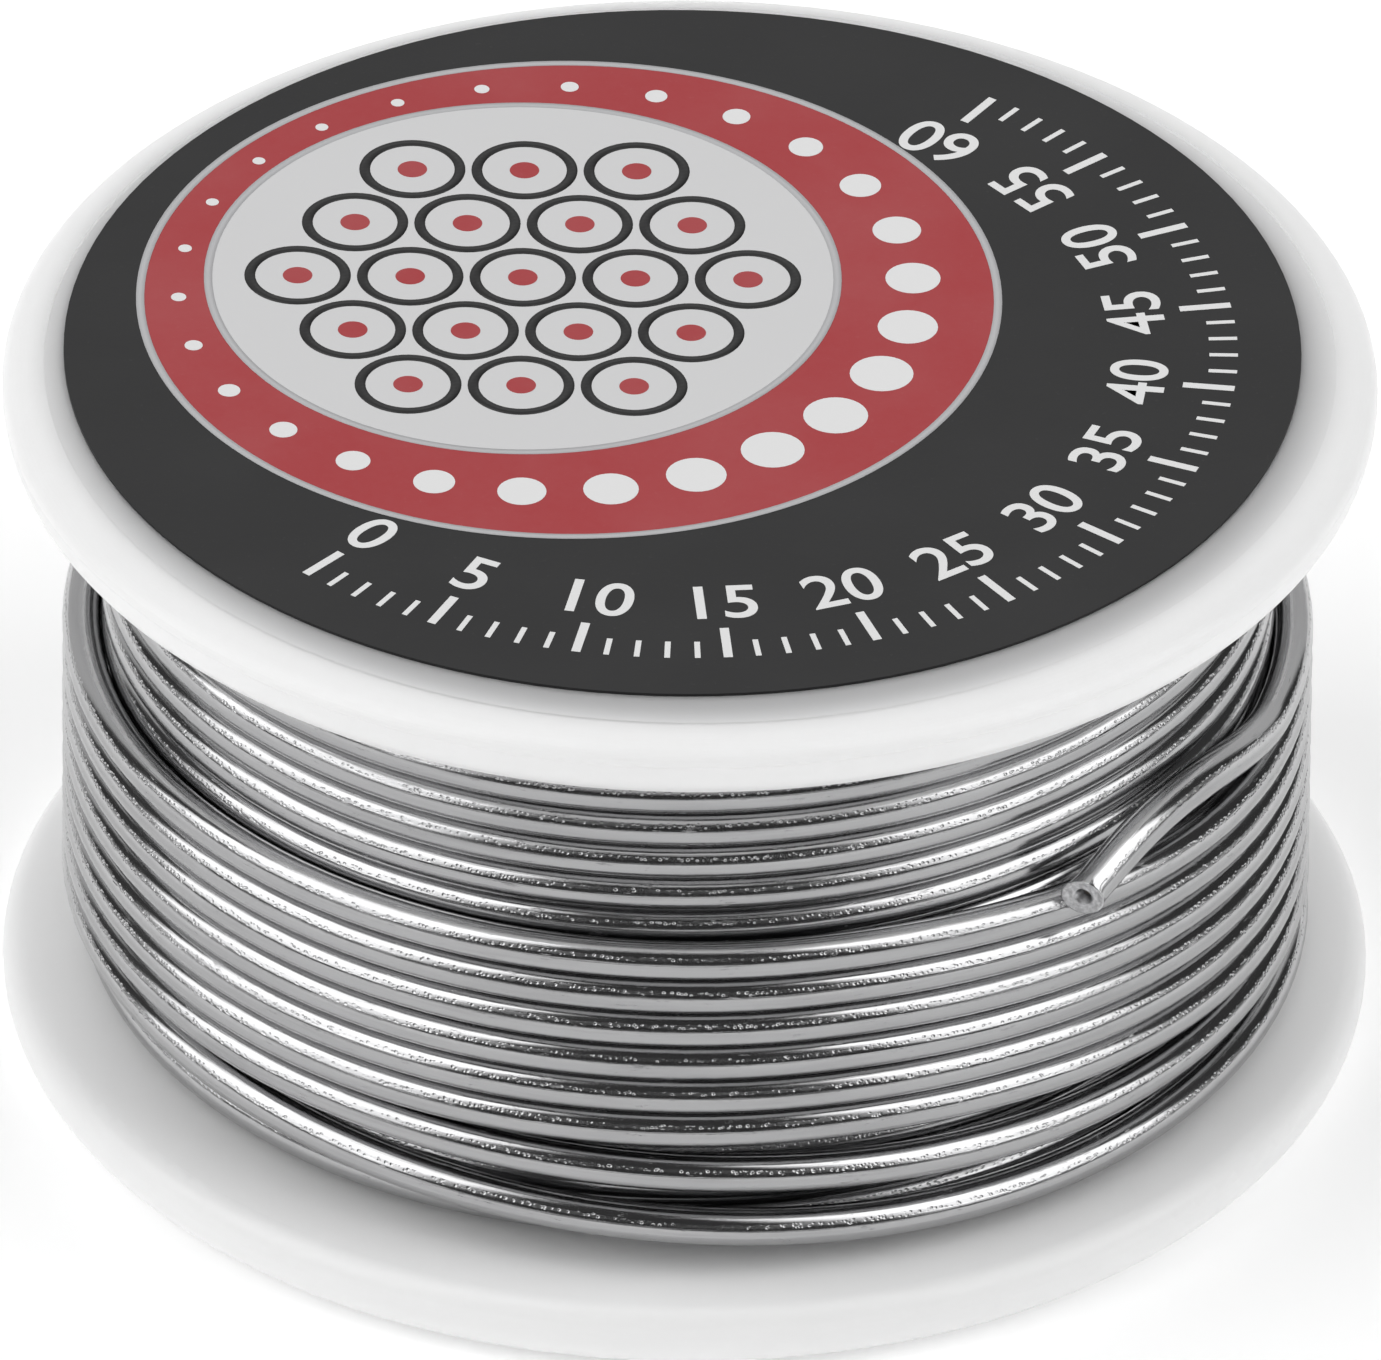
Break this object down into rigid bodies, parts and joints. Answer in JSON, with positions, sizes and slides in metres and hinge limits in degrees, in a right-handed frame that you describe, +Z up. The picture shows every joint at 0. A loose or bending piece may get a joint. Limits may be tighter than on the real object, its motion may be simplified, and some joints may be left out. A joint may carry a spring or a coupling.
{
  "type": "solder wire spool",
  "caption": "Solder wire wound on a small two-flange moulded spool, with a round paper label and a blind central bore for a dispenser spindle.",
  "frame": {"origin": "middle of the underside, on the plane that the spool stands on", "axes": "+Z up along the spool's axis, from the lower flange to the labelled one; -Y is the front, with the wire's free end to the right of it"},
  "size_m": [0.053, 0.053, 0.0294],
  "materials": {
    "spool_plastic": "white moulded, soft gloss",
    "label_paper": "printed, coated",
    "solder": "bright drawn tin-lead",
    "rosin": "dark resin"
  },
  "bodies": {
    "root": {"lower_half": "spool_plastic", "upper_half": "spool_plastic", "paper_label": "label_paper", "inner_windings": "solder", "solder_wire": "solder", "flux_core": "rosin"}
  },
  "joints": []
}
